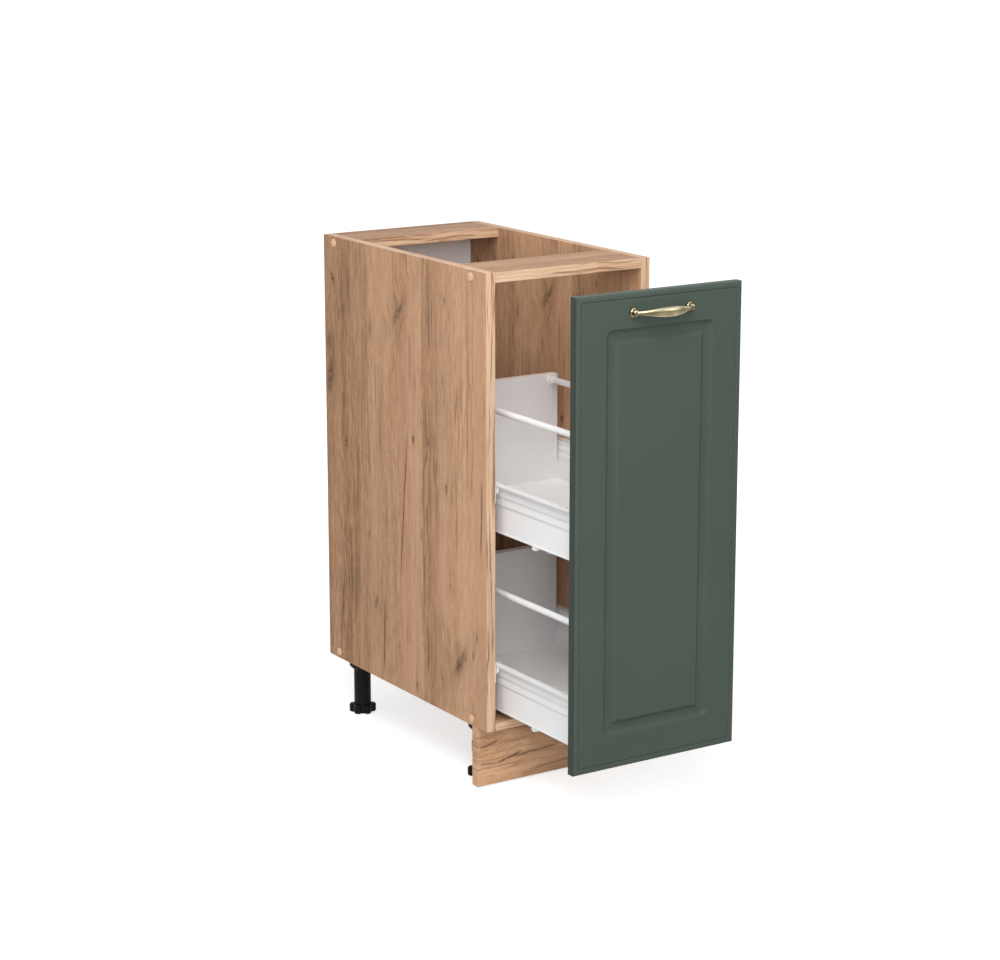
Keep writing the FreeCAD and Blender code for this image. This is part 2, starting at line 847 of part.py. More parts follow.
def grip():
    """Spindle-shaped grip lofted through ovals square to the bow."""
    bow = grip_bow()
    sections = []
    for n in range(grip_sections):
        share = n / (grip_sections - 1)
        turn = bow.FirstParameter + share * (bow.LastParameter - bow.FirstParameter)
        place = bow.value(turn)
        along = bow.tangent(turn)[0]
        swell = max(0, math.sin(math.pi * share)) ** grip_swell_power
        tall = grip_end_radius + (grip_half_height - grip_end_radius) * swell
        deep = grip_end_radius + (grip_half_depth - grip_end_radius) * swell
        across = along.cross(Z_AXIS).normalize()
        oval = Part.Ellipse(place + Z_AXIS * (tall + fit_gap), place + across * deep, place)
        sections.append(Part.Wire(oval.toShape()))
    return Part.makeLoft(sections, True, False)


def make_handle():
    half = handle_spacing / 2
    handle = grip().fuse([handle_boss(-half), handle_boss(half)])
    bite = door_thickness + handle_screw_bite
    hole = handle_screw_radius + fit_gap
    holes = [rod(hole, seat, -Y_AXIS, bite + fit_gap) for seat in handle_screw_seats()]
    save("pull_handle", pulled(cut_all(handle, holes).removeSplitter()))
    screws = []
    for seat in handle_screw_seats():
        head = rod(handle_screw_head_radius, seat, Y_AXIS, handle_screw_head)
        shank = rod(handle_screw_radius, seat, -Y_AXIS, bite)
        recess = cross_recess(seat + Y_AXIS * handle_screw_head, -Y_AXIS)
        screws.append(pulled(head.fuse(shank).removeSplitter().cut(recess)))
    save("handle_screws", screws)


# Drawer pieces

def side_outline(floor):
    """Left-hand outline of the folded side, from the lip over the ribs to the hemmed flange, at y = 0."""
    inner = [(lip_width, steel), (0, steel)]
    flared = -steel - side_foot_flare
    outer = [(lip_width, 0), (flared, 0), (flared, side_foot_low), (-steel, side_foot_high)]
    shift = 0
    for drop in side_rib_drops:
        rib = side_height - drop
        bulge = shift + side_rib_step + side_rib_lean
        inner += [(-shift, rib), (-bulge, rib + side_rib_rise)]
        outer += [(-shift - steel, rib), (-bulge - steel, rib + side_rib_rise)]
        shift += side_rib_step
    under = side_height - steel
    inner.append((-shift, side_height))
    outer.append((-shift - steel, under))
    reach = flange_tip - wall_inner
    hem_low = side_height - flange_hem
    outer += [(steel - reach, under), (steel - reach, hem_low), (-reach, hem_low), (-reach, side_height)]
    return [V(x - wall_inner, 0, floor + z) for x, z in inner + outer[::-1]]


def drawer_side(floor):
    side = polygon_prism(side_outline(floor), Y_AXIS * side_length)
    flange_end = rear_roller_y - roller_radius - roller_front_margin
    flange_tail = block(
        -flange_tip, -crest_outer, flange_end, side_length, floor + side_height - flange_hem, floor + side_height
    )
    tab = block(
        -wall_inner - steel, rear_tab_width - wall_inner, base_length, base_length + steel,
        floor + rear_tab_low, floor + rear_tab_high
    )
    pin_start = V(-crest_outer, rear_roller_y, floor + rear_roller_z)
    holes = [flange_tail, rod(roller_pin_radius + fit_gap, pin_start, X_AXIS, steel + side_rib_lean)]
    holes += [screw_hole(seat, Z_AXIS, base_screw_bite()) for seat in base_screw_seats(floor)]
    holes += [screw_hole(seat, -Y_AXIS, back_screw_bite()) for seat in back_screw_seats(floor)]
    holes.append(base_clip_stud(floor, fit_gap))
    return cut_all(side.fuse(tab), holes).removeSplitter()


def base_screw_seats(floor):
    step = (base_length - base_screw_front - base_screw_rear) / (base_screw_count - 1)
    places = [base_screw_front + n * step for n in range(base_screw_count)]
    return [V(lip_width / 2 - wall_inner, y, floor) for y in places]


def base_screw_bite():
    return steel + screw_bite


def back_screw_seats(floor):
    x = rear_tab_width / 2 - wall_inner
    heights = (rear_tab_low + rear_tab_screw_margin, rear_tab_high - rear_tab_screw_margin)
    return [V(x, base_length + steel, floor + z) for z in heights]


def back_screw_bite():
    return steel + screw_bite


def base_clip_stud(floor, gap):
    start = V(lip_width / 2 - wall_inner, base_clip_place, floor)
    return rod(base_clip_stud_radius + gap, start, Z_AXIS, steel + base_clip_stud_bite + gap)


def base_clip(floor):
    """Round plastic clip that hangs under the lip, with its stud up into the base panel."""
    start = V(lip_width / 2 - wall_inner, base_clip_place, floor)
    drum = rod(base_clip_radius, start, -Z_AXIS, base_clip_drop)
    low = [e for e in drum.Edges if e.Closed and abs(e.BoundBox.ZMax - floor + base_clip_drop) < fit_gap]
    drum = drum.makeFillet(base_clip_rounding, low)
    return drum.fuse(base_clip_stud(floor, 0)).removeSplitter()


def drawer_base(floor):
    base = block(-wall_inner, wall_inner, 0, base_length, floor + steel, floor + base_top)
    holes = [screw_hole(seat, Z_AXIS, base_screw_bite()) for seat in base_screw_seats(floor)]
    holes.append(base_clip_stud(floor, fit_gap))
    return cut_all(base, both_sides(holes))


def drawer_back(floor):
    low = floor + base_top
    high = floor + back_height
    back = rounded_board(-wall_inner, wall_inner, back_front, base_length, low, high, X_AXIS)
    holes = [screw_hole(seat, -Y_AXIS, back_screw_bite()) for seat in back_screw_seats(floor)]
    holes.append(rail_peg(V(-rail_x, back_front, floor + rail_height), Y_AXIS, fit_gap))
    return cut_all(back, both_sides(holes))


def make_drawers():
    clips = []
    base_screws = []
    back_screws = []
    for level, floor in drawer_floors.items():
        left = pulled(drawer_side(floor))
        save("drawer_side_" + level + "_left", left)
        save("drawer_side_" + level + "_right", mirrored(left))
        save("drawer_base_" + level, pulled(drawer_base(floor)))
        save("drawer_back_" + level, pulled(drawer_back(floor)))
        clips.append(pulled(base_clip(floor)))
        base_screws += [pulled(screw(seat, Z_AXIS, base_screw_bite())) for seat in base_screw_seats(floor)]
        back_screws += [pulled(screw(seat, -Y_AXIS, back_screw_bite())) for seat in back_screw_seats(floor)]
    save("base_clips", both_sides(clips))
    save("drawer_base_screws", both_sides(base_screws))
    save("drawer_back_screws", both_sides(back_screws))


# Front brackets

def bracket_screw_seats(floor):
    x = bracket_plate_width / 2 - wall_inner
    heights = (bracket_low + bracket_screw_low_margin, bracket_high - bracket_screw_high_margin)
    return [V(x, bracket_thickness, floor + z) for z in heights]


def bracket_screw_bite():
    return bracket_thickness + door_thickness - groove_depth - door_screw_cover


def front_bracket(floor):
    """Left-hand angle: a plate on the back of the front and an arm along the inside of the side."""
    low = floor + bracket_low
    high = floor + bracket_high
    plate = block(-wall_inner, bracket_plate_width - wall_inner, 0, bracket_thickness, low, high)
    arm = polygon_prism(
        [
            V(-wall_inner, 0, low),
            V(-wall_inner, bracket_length, low),
            V(-wall_inner, bracket_length, floor + side_height - bracket_fall),
            V(-wall_inner, bracket_run_out, floor + side_height),
            V(-wall_inner, bracket_bend, high - bracket_bend_drop),
            V(-wall_inner, bracket_shoulder, high),
            V(-wall_inner, 0, high),
        ],
        X_AXIS * bracket_thickness,
    )
    holes = [screw_hole(seat, -Y_AXIS, bracket_screw_bite()) for seat in bracket_screw_seats(floor)]
    return cut_all(plate.fuse(arm), holes).removeSplitter()


def make_front_brackets():
    screws = []
    for level, floor in drawer_floors.items():
        left = pulled(front_bracket(floor))
        save("front_bracket_" + level + "_left", left)
        save("front_bracket_" + level + "_right", mirrored(left))
        seats = bracket_screw_seats(floor)
        screws += [pulled(screw(seat, -Y_AXIS, bracket_screw_bite())) for seat in seats]
    save("front_bracket_screws", both_sides(screws))


# Gallery rails

def rail_peg(seat, direction, gap):
    return rod(rail_peg_radius + gap, seat, direction, rail_peg_length + gap)


def rail_socket(seat, direction):
    """Cup for a rail end: its peg goes into the board along direction, its mouth faces the other way."""
    flange = rod(rail_socket_flange_radius, seat, -direction, rail_socket_flange)
    cup = rod(rail_socket_radius, seat, -direction, rail_socket_flange + rail_socket_length)
    bore = rod(rail_radius + fit_gap, seat - direction * rail_socket_flange, -direction, rail_socket_length)
    peg = rail_peg(seat, direction, 0)
    return flange.fuse([cup, peg]).cut(bore).removeSplitter()


def make_rails():
    sockets = []
    for level, floor in drawer_floors.items():
        front = V(-rail_x, 0, floor + rail_height)
        rear = V(-rail_x, back_front, floor + rail_height)
        length = back_front - 2 * rail_socket_flange
        left = pulled(rod(rail_radius, front + Y_AXIS * rail_socket_flange, Y_AXIS, length))
        save("gallery_rail_" + level + "_left", left)
        save("gallery_rail_" + level + "_right", mirrored(left))
        sockets += [pulled(rail_socket(front, -Y_AXIS)), pulled(rail_socket(rear, Y_AXIS))]
    save("rail_sockets", both_sides(sockets))


make_side_panels()
make_bottom_panel()
make_top_rails()
make_back_panel()
make_connectors()
make_legs()
make_plinth()
make_runners()
make_door()
make_handle()
make_drawers()
make_front_brackets()
make_rails()
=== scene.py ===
import bpy
import math
from mathutils import Euler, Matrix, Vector


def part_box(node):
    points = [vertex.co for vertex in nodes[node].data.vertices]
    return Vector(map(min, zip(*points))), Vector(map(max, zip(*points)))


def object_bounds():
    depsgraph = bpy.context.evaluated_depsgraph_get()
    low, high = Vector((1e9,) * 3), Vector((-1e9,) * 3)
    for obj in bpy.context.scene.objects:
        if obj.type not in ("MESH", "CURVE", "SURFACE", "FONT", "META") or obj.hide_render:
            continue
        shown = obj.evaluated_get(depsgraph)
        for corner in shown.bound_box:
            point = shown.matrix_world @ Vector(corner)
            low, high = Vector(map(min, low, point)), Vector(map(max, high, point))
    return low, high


# Pull-out base cabinet in a plain white studio. Metres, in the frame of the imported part:
# x = 0 on the centre line, -Y towards the front, z = 0 on the floor.
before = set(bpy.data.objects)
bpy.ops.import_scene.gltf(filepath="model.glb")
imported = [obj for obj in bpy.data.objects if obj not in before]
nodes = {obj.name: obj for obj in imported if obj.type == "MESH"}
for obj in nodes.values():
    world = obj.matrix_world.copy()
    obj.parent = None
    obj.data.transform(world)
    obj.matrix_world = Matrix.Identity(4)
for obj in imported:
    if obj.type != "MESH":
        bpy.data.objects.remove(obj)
cad_low, cad_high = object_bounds()

# Front faces read from the frame, as y
carcass_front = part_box("side_panel_left")[0].y
door_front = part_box("door_front")[0].y
handle_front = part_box("pull_handle")[0].y


# Node trees

NOISE_LOW = 0.3
NOISE_MIDDLE = 0.5
NOISE_HIGH = 0.7


def rgb(red, green, blue):
    return (red, green, blue, 1.0)


def grey(level):
    return rgb(level, level, level)


class Tree:
    """A node tree, with short ways to add and link its nodes."""

    def __init__(self, tree):
        self.tree = tree
        self.tree.nodes.clear()

    def node(self, kind, **settings):
        made = self.tree.nodes.new(kind)
        for name, value in settings.items():
            setattr(made, name, value)
        return made

    def put(self, socket, value):
        """Links a socket into an input, or sets the input to a plain value."""
        if isinstance(value, bpy.types.NodeSocket):
            self.tree.links.new(value, socket)
        else:
            socket.default_value = value

    def calc(self, operation, *values):
        made = self.node("ShaderNodeMath", operation=operation)
        for socket, value in zip(made.inputs, values):
            self.put(socket, value)
        return made.outputs[0]

    def add(self, *values):
        total = values[0]
        for value in values[1:]:
            total = self.calc("ADD", total, value)
        return total

    def less(self, a, b):
        return self.calc("SUBTRACT", a, b)

    def times(self, a, b):
        return self.calc("MULTIPLY", a, b)

    def most(self, a, b):
        return self.calc("MAXIMUM", a, b)

    def size(self, value):
        return self.calc("ABSOLUTE", value)

    def vector(self, x, y, z):
        made = self.node("ShaderNodeCombineXYZ")
        for socket, value in zip(made.inputs, (x, y, z)):
            self.put(socket, value)
        return made.outputs[0]

    def split(self, vector):
        made = self.node("ShaderNodeSeparateXYZ")
        self.put(made.inputs[0], vector)
        return made.outputs

    def noise(self, vector, scale, detail=2.0, roughness=0.5):
        made = self.node("ShaderNodeTexNoise")
        self.put(made.inputs["Vector"], vector)
        made.inputs["Scale"].default_value = scale
        made.inputs["Detail"].default_value = detail
        made.inputs["Roughness"].default_value = roughness
        return made.outputs[0]

    def span(self, value, low, high, start=0.0, end=1.0):
        """Value taken smoothly from the range low to high into the range start to end."""
        made = self.node("ShaderNodeMapRange", interpolation_type="SMOOTHSTEP")
        self.put(made.inputs["Value"], value)
        self.put(made.inputs["From Min"], low)
        self.put(made.inputs["From Max"], high)
        self.put(made.inputs["To Min"], start)
        self.put(made.inputs["To Max"], end)
        return made.outputs[0]

    def drift(self, noise, start=0.0, end=1.0):
        """Noise taken from its usual range into the range start to end."""
        return self.span(noise, NOISE_LOW, NOISE_HIGH, start, end)

    def mix(self, share, a, b):
        made = self.node("ShaderNodeMix", data_type="RGBA")
        colours = [socket for socket in made.inputs if socket.type == "RGBA"]
        self.put(made.inputs[0], share)
        self.put(colours[0], a)
        self.put(colours[1], b)
        return [socket for socket in made.outputs if socket.type == "RGBA"][0]

    def ramp(self, share, stops):
        made = self.node("ShaderNodeValToRGB")
        self.put(made.inputs[0], share)
        elements = made.color_ramp.elements
        while len(elements) < len(stops):
            elements.new(0.5)
        for element, (position, colour) in zip(elements, stops):
            element.position = position
            element.color = colour
        return made.outputs[0]

    def bump(self, height, strength, distance):
        made = self.node("ShaderNodeBump")
        made.inputs["Strength"].default_value = strength
        made.inputs["Distance"].default_value = distance
        self.put(made.inputs["Height"], height)
        return made.outputs[0]

    def seen_directly(self):
        """1 for rays that show the background itself: camera, glossy and transmission rays."""
        path = self.node("ShaderNodeLightPath")
        names = ("Is Camera Ray", "Is Glossy Ray", "Is Transmission Ray")
        total = self.add(*[path.outputs[name] for name in names])
        return self.calc("MINIMUM", total, 1.0)


class Graph(Tree):
    """A material's node tree round one Principled shader."""

    def __init__(self, name):
        self.material = bpy.data.materials.new(name)
        self.material.use_nodes = True
        super().__init__(self.material.node_tree)
        self.shader = self.node("ShaderNodeBsdfPrincipled")
        output = self.node("ShaderNodeOutputMaterial")
        self.put(output.inputs["Surface"], self.shader.outputs[0])
        coordinates = self.node("ShaderNodeTexCoord")
        self.place = coordinates.outputs["Object"]
        self.normal = coordinates.outputs["Normal"]

    def finish(self, **inputs):
        """Sets or links the shader's inputs, named with _ for spaces."""
        for name, value in inputs.items():
            self.put(self.shader.inputs[name.replace("_", " ")], value)
        return self.material


# Oak decor

SIDE_SPAN = 0.497

# Wide bands of the printed decor on the side panels: distance from the front edge, tone
SIDE_BANDS = (
    (0.000, 0.55), (0.072, 0.56), (0.090, 0.52), (0.134, 0.53), (0.146, 0.46), (0.186, 0.44),
    (0.194, 0.55), (0.226, 0.55), (0.237, 0.49), (0.310, 0.49), (0.350, 0.52), (0.364, 0.45),
    (0.388, 0.45), (0.396, 0.43), (0.440, 0.41), (0.454, 0.46), (0.475, 0.49), (0.497, 0.45),
)
# Smudged patches: distance from the front edge, height, half width, half height, strength
SIDE_PATCHES = (
    (0.410, 0.270, 0.042, 0.090, 0.75),
    (0.165, 0.470, 0.030, 0.160, 0.8),
    (0.132, 0.190, 0.034, 0.120, 0.7),
    (0.480, 0.610, 0.022, 0.060, 0.8),
    (0.162, 0.745, 0.022, 0.075, 0.8),
    (0.425, 0.690, 0.032, 0.130, 0.5),
    (0.256, 0.722, 0.030, 0.060, 0.6),
    (0.350, 0.690, 0.020, 0.030, 0.5),
    (0.080, 0.190, 0.030, 0.050, 0.6),
)
# Knots: distance from the front edge, height, radius, sideways shift per rise, strength
SIDE_KNOTS = (
    (0.256, 0.729, 0.0115, -0.75, 0.96),
    (0.470, 0.749, 0.0052, 0.50, 0.96),
    (0.480, 0.590, 0.0120, -0.20, 0.90),
    (0.484, 0.642, 0.0065, 0.00, 0.64),
    (0.217, 0.527, 0.0034, 0.00, 1.00),
    (0.173, 0.529, 0.0045, 0.10, 0.58),
    (0.350, 0.685, 0.0048, 0.00, 0.51),
    (0.121, 0.762, 0.0028, 0.00, 0.90),
    (0.431, 0.483, 0.0042, 0.00, 0.96),
    (0.117, 0.466, 0.0045, 0.00, 0.83),
    (0.339, 0.229, 0.0048, -0.30, 0.83),
    (0.077, 0.193, 0.0125, -0.70, 0.96),
    (0.210, 0.118, 0.0034, 0.00, 0.77),
    (0.107, 0.311, 0.0024, 0.00, 1.00),
    (0.359, 0.340, 0.0022, 0.00, 0.77),
)
# Cracks: upper end, lower end (each as distance from the front edge, height), strength
SIDE_CRACKS = (
    (0.230, 0.567, 0.264, 0.253, 1.00),
    (0.311, 0.255, 0.312, 0.100, 1.10),
    (0.174, 0.240, 0.174, 0.140, 1.00),
    (0.168, 0.778, 0.167, 0.663, 0.75),
    (0.014, 0.510, 0.014, 0.365, 1.00),
    (0.037, 0.600, 0.045, 0.450, 0.50),
    (0.087, 0.540, 0.087, 0.350, 0.50),
    (0.393, 0.500, 0.398, 0.360, 0.75),
    (0.443, 0.270, 0.460, 0.120, 0.75),
    (0.392, 0.820, 0.389, 0.750, 0.50),
    (0.333, 0.620, 0.335, 0.545, 0.55),
    (0.224, 0.710, 0.227, 0.600, 0.55),
)
# Cracks of the plinth: right end, left end (each as height, place across), strength
PLINTH_CRACKS = (
    (0.0470, -0.062, 0.0330, -0.122, 1.10),
    (0.0345, -0.110, 0.0385, -0.150, 0.80),
    (0.0730, -0.108, 0.0640, -0.150, 0.90),
    (0.0470, 0.010, 0.0380, -0.092, 0.90),
    (0.0840, -0.020, 0.0930, -0.140, 0.70),
    (0.0200, 0.040, 0.0120, -0.060, 0.60),
    (0.0620, 0.120, 0.0560, 0.020, 0.80),
)

OAK_DARK = rgb(0.225, 0.116, 0.060)
OAK_BROWN = rgb(0.385, 0.215, 0.118)
OAK_MID = rgb(0.500, 0.292, 0.168)
OAK_LIGHT = rgb(0.620, 0.388, 0.238)
OAK_GREY = rgb(0.345, 0.220, 0.133)
OAK_PINK = rgb(0.550, 0.308, 0.188)
OAK_CRACK = rgb(0.075, 0.038, 0.020)
OAK_BAND = rgb(0.590, 0.380, 0.242)
OAK_BAND_DARK = rgb(0.310, 0.175, 0.100)
OAK_BAND_PALE = rgb(0.655, 0.470, 0.328)
OAK_TONES = ((0.30, OAK_DARK), (0.42, OAK_BROWN), (0.51, OAK_MID), (0.66, OAK_LIGHT))
OAK_BAND_TONES = ((0.38, OAK_BAND_DARK), (0.45, OAK_BAND), (0.66, OAK_BAND_PALE))

# Noise layers: waves a metre across and along the grain, seed shift, detail, roughness
GRAIN = {
    "flow": (6.0, 1.6, 0.0, 2.0, 0.5),
    "ripple": (45.0, 13.0, 1.0, 2.0, 0.5),
    "grit": (900.0, 420.0, 2.0, 2.0, 0.7),
    "zones": (20.0, 0.7, 3.0, 2.0, 0.5),
    "streaks": (75.0, 2.5, 4.0, 2.0, 0.5),
    "lines": (210.0, 9.0, 5.0, 2.0, 0.5),
    "fibres": (720.0, 34.0, 6.0, 3.0, 0.62),
    "pink": (24.0, 1.3, 7.0, 2.0, 0.5),
    "grey": (18.0, 2.4, 8.0, 2.0, 0.5),
    "ridge": (26.0, 0.9, 9.0, 2.0, 0.5),
    "ridge_reach": (11.0, 4.0, 10.0, 2.0, 0.5),
    "dashes": (330.0, 17.0, 11.0, 2.0, 0.5),
    "clusters": (16.0, 5.0, 12.0, 2.0, 0.5),
    "wander": (16.0, 5.0, 13.0, 2.0, 0.5),
    "speck": (380.0, 190.0, 14.0, 2.0, 0.7),
    "figure": (95.0, 11.0, 15.0, 3.0, 0.6),
    "calm": (9.0, 2.2, 16.0, 2.0, 0.5),
    "short": (270.0, 38.0, 17.0, 3.0, 0.6),
    "hair": (64.0, 1.9, 18.0, 2.0, 0.5),
    "hair_reach": (26.0, 6.0, 19.0, 2.0, 0.5),
    "edge_tone": (210.0, 7.0, 0.0, 3.0, 0.6),
    "edge_fibres": (620.0, 26.0, 3.0, 3.0, 0.6),
}
# What a value is turned into: its range from and to, the result at each end
MASKS = {
    "calm": (0.40, 0.62, 0.35, 1.0),
    "smear": (0.36, 0.58, 0.20, -0.02),
    "pink": (0.50, 0.68, 0.0, 0.50),
    "grey": (0.50, 0.70, 0.0, 0.45),
    "grey_fibres": (0.35, 0.65, 1.0, 0.35),
    "ridge": (0.0, 0.010, 0.7, 0.0),
    "ridge_reach": (0.56, 0.66, 0.0, 1.0),
    "clusters": (0.54, 0.68, 0.0, 1.0),
    "dashes": (0.60, 0.72, 0.0, 1.0),
    "hair": (0.0, 0.020, 0.36, 0.0),
    "hair_reach": (0.44, 0.60, 0.0, 1.0),
    "crack_line": (0.0004, 0.0022, 0.75, 0.0),
    "crack_stain": (0.0, 0.0070, 0.30, 0.0),
    "crack_breaks": (0.32, 0.55, 0.55, 1.0),
    "halo_lines": (0.3, 0.7, 0.70, 0.20),
    "core_specks": (0.36, 0.62, 1.0, 0.35),
    "edge_fibres": (0.52, 0.66, 0.0, 0.45),
    "edge_top_painted_light": (0.8, 0.95, 0.0, 0.3),
    "face": (0.8, 0.95, 0.0, 1.0),
    "roughness": (0.4, 0.6, 0.58, 0.48),
}
# Sideways shifts of the grain, in metres
FLOW_SHIFT = 0.030
RIPPLE_SHIFT = 0.0050
WANDER_SHIFT = 0.012
MARK_SHIFT = 0.006
EDGE_SHIFT = 0.009
# Shares of the layers in the tone. Placed bands take over most of the zones' share.
TONE_SHARES = {"streaks": 0.18, "short": 0.30, "speck": 0.16, "fibres": 0.24, "grit": 0.10}
ZONE_SHARE = 0.42
BANDED_ZONE_SHARE = 0.14
LINE_SHARE = 0.32
# Knots: how much a height counts, unevenness, pull on the grain, and their rings in radii
KNOT_SQUEEZE = 0.42
KNOT_RIPPLE = 1.8
KNOT_PULL = 0.6
KNOT_HALO = (0.6, 3.4)
KNOT_CORE = (0.2, 1.4)
# Other marks: where a crack starts to fade, shares of the marks, heights in the bump
CRACK_FADE = 0.45
SMEAR_GREY = 0.28
SMEAR_DASHES = 0.8
CRACK_SHARE = 0.85
DASH_SHARE = 0.46
FIBRE_HEIGHT = 0.6
MARK_HEIGHT = -0.8
OAK_BUMP = (0.18, 0.0004)
MATTE_SPECULAR = 0.10


class Oak(Graph):
    """Printed oak decor, with its grain along one axis of a board."""

    def __init__(self, name, across, along, face, seed, painted_light=1.0, wave=1.0):
        super().__init__(name)
        places = dict(zip("xyz", self.split(self.place)))
        normals = dict(zip("xyz", self.split(self.normal)))
        self.across, self.along, self.depth = places[across], places[along], places[face]
        self.upward, self.facing = normals["z"], normals[face]
        self.seed = seed
        # A factor on every oak colour, which makes lit and shaded copies of the one oak: painted
        # light and shade.
        self.painted_light = painted_light
        self.ripple = self.centred(self.across, "ripple")
        wander = self.centred(self.across, "wander")
        self.bent = self.add(
            self.across,
            self.times(self.centred(self.across, "flow"), FLOW_SHIFT),
            self.times(self.ripple, RIPPLE_SHIFT * wave),
            self.times(wander, WANDER_SHIFT * wave),
        )
        self.marked = self.add(
            self.across,
            self.times(self.ripple, MARK_SHIFT),
            self.times(wander, MARK_SHIFT),
        )

    def streak(self, place, layer):
        """Noise of a grain layer at a place across the grain."""
        wide, long, shift, detail, roughness = GRAIN[layer]
        spot = self.vector(self.times(place, wide), self.times(self.along, long), self.seed + shift)
        return self.noise(spot, 1.0, detail, roughness)

    def edge_streak(self, layer):
        """Noise of a grain layer on a board's edges, where the depth runs across it."""
        wide, long, shift, detail, roughness = GRAIN[layer]
        place = self.add(self.depth, self.times(self.ripple, EDGE_SHIFT))
        turn = self.add(self.times(self.across, long), self.seed + shift)
        spot = self.vector(self.times(place, wide), self.times(self.along, long), turn)
        return self.noise(spot, 1.0, detail, roughness)

    def centred(self, place, layer):
        return self.less(self.streak(place, layer), NOISE_MIDDLE)

    def mask(self, value, name):
        return self.span(value, *MASKS[name])

    # Colour times the factor of painted light or shade.
    def with_painted_light(self, colour):
        return rgb(*[level * self.painted_light for level in colour[:3]])

    def mark_knots(self, knots):
        """Bends the grain round the knots, and gives their cores and halos."""
        core = 0.0
        halo = 0.0
        for across, along, radius, slope, strength in knots:
            above = self.less(self.along, along)
            aside = self.less(self.across, self.add(across, self.times(above, slope)))
            above = self.times(above, KNOT_SQUEEZE)
            squares = self.add(self.times(aside, aside), self.times(above, above))
            distance = self.calc("SQRT", squares)
            distance = self.add(distance, self.times(self.ripple, radius * KNOT_RIPPLE))
            near = self.span(distance, *[radius * ring for ring in KNOT_HALO], 1.0, 0.0)
            self.bent = self.add(self.bent, self.times(near, self.times(distance, KNOT_PULL)))
            halo = self.most(halo, self.times(near, strength))
            inner = self.span(distance, *[radius * ring for ring in KNOT_CORE], strength, 0.0)
            core = self.most(core, inner)
        return core, halo

    def mark_cracks(self, cracks):
        """Thin dark lines with a faint stain, which lean and fade at their ends."""
        crack = 0.0
        for top_across, top, low_across, low, strength in cracks:
            lean = (low_across - top_across) / (low - top)
            line = self.add(top_across, self.times(self.less(self.along, top), lean))
            aside = self.size(self.less(self.marked, line))
            beyond = self.size(self.less(self.along, (top + low) / 2))
            half = (top - low) / 2
            inside = self.span(beyond, half * CRACK_FADE, half, strength, 0.0)
            drawn = self.add(self.mask(aside, "crack_line"), self.mask(aside, "crack_stain"))
            crack = self.most(crack, self.times(drawn, inside))
        return crack

    def mark_patches(self, patches):
        """Oval smudges that fade outwards."""
        smear = 0.0
        for across, along, half_across, half_along, strength in patches:
            aside = self.times(self.less(self.marked, across), 1.0 / half_across)
            above = self.times(self.less(self.along, along), 1.0 / half_along)
            reach = self.add(self.times(aside, aside), self.times(above, above))
            smear = self.most(smear, self.span(reach, 0.0, 1.0, strength, 0.0))
        return smear

    def tone(self, layers, lines, bands, smear):
        """How light the grain is, from its layers, bands and smudges."""
        zone_share = BANDED_ZONE_SHARE if bands else ZONE_SHARE
        zones = self.times(self.centred(self.bent, "zones"), zone_share)
        parts = [
            self.times(self.less(layers[name], NOISE_MIDDLE), share)
            for name, share in TONE_SHARES.items()
        ]
        tone = self.add(zones, *parts, NOISE_MIDDLE)
        calm = self.mask(self.streak(self.across, "calm"), "calm")
        strength = self.times(self.less(lines, NOISE_MIDDLE), LINE_SHARE)
        tone = self.add(tone, self.times(strength, calm))
        if bands:
            stops = [(place / SIDE_SPAN, grey(level)) for place, level in bands]
            share = self.times(self.less(self.marked, carcass_front), 1.0 / SIDE_SPAN)
            tone = self.add(tone, self.less(self.ramp(share, stops), NOISE_MIDDLE))
        figure = self.mask(self.streak(self.bent, "figure"), "smear")
        return self.less(tone, self.times(smear, figure))

    def tinted(self, tone, fibres, smear):
        """The tone's browns, with pink and grey drifts."""
        colour = self.ramp(tone, [(level, self.with_painted_light(brown)) for level, brown in OAK_TONES])
        pink = self.mask(self.streak(self.bent, "pink"), "pink")
        colour = self.mix(pink, colour, self.with_painted_light(OAK_PINK))
        dull = self.mask(self.streak(self.bent, "grey"), "grey")
        dull = self.times(dull, self.mask(fibres, "grey_fibres"))
        dull = self.most(dull, self.times(smear, SMEAR_GREY))
        return self.mix(dull, colour, self.with_painted_light(OAK_GREY))

    def dark_marks(self, crack, smear, speck):
        """Cracks, ridges, short dashes and hair lines."""
        ridge = self.mask(self.size(self.centred(self.bent, "ridge")), "ridge")
        ridge = self.times(ridge, self.mask(self.streak(self.across, "ridge_reach"), "ridge_reach"))
        crack = self.times(self.most(crack, ridge), self.mask(speck, "crack_breaks"))
        cluster = self.mask(self.streak(self.across, "clusters"), "clusters")
        cluster = self.most(cluster, self.times(smear, SMEAR_DASHES))
        dashes = self.times(self.mask(self.streak(self.bent, "dashes"), "dashes"), cluster)
        hair = self.mask(self.size(self.centred(self.bent, "hair")), "hair")
        hair = self.times(hair, self.mask(self.streak(self.across, "hair_reach"), "hair_reach"))
        fine = self.most(self.times(dashes, DASH_SHARE), hair)
        return self.most(self.times(crack, CRACK_SHARE), fine)

    def edge_band(self):
        """The lighter band on the edges, made palest where it faces up by painted light."""
        band = self.ramp(self.edge_streak("edge_tone"), OAK_BAND_TONES)
        fibres = self.mask(self.edge_streak("edge_fibres"), "edge_fibres")
        band = self.mix(fibres, band, OAK_BROWN)
        # Up-facing edges mixed towards the pale tone: painted light.
        return self.mix(self.mask(self.upward, "edge_top_painted_light"), band, OAK_BAND_PALE)

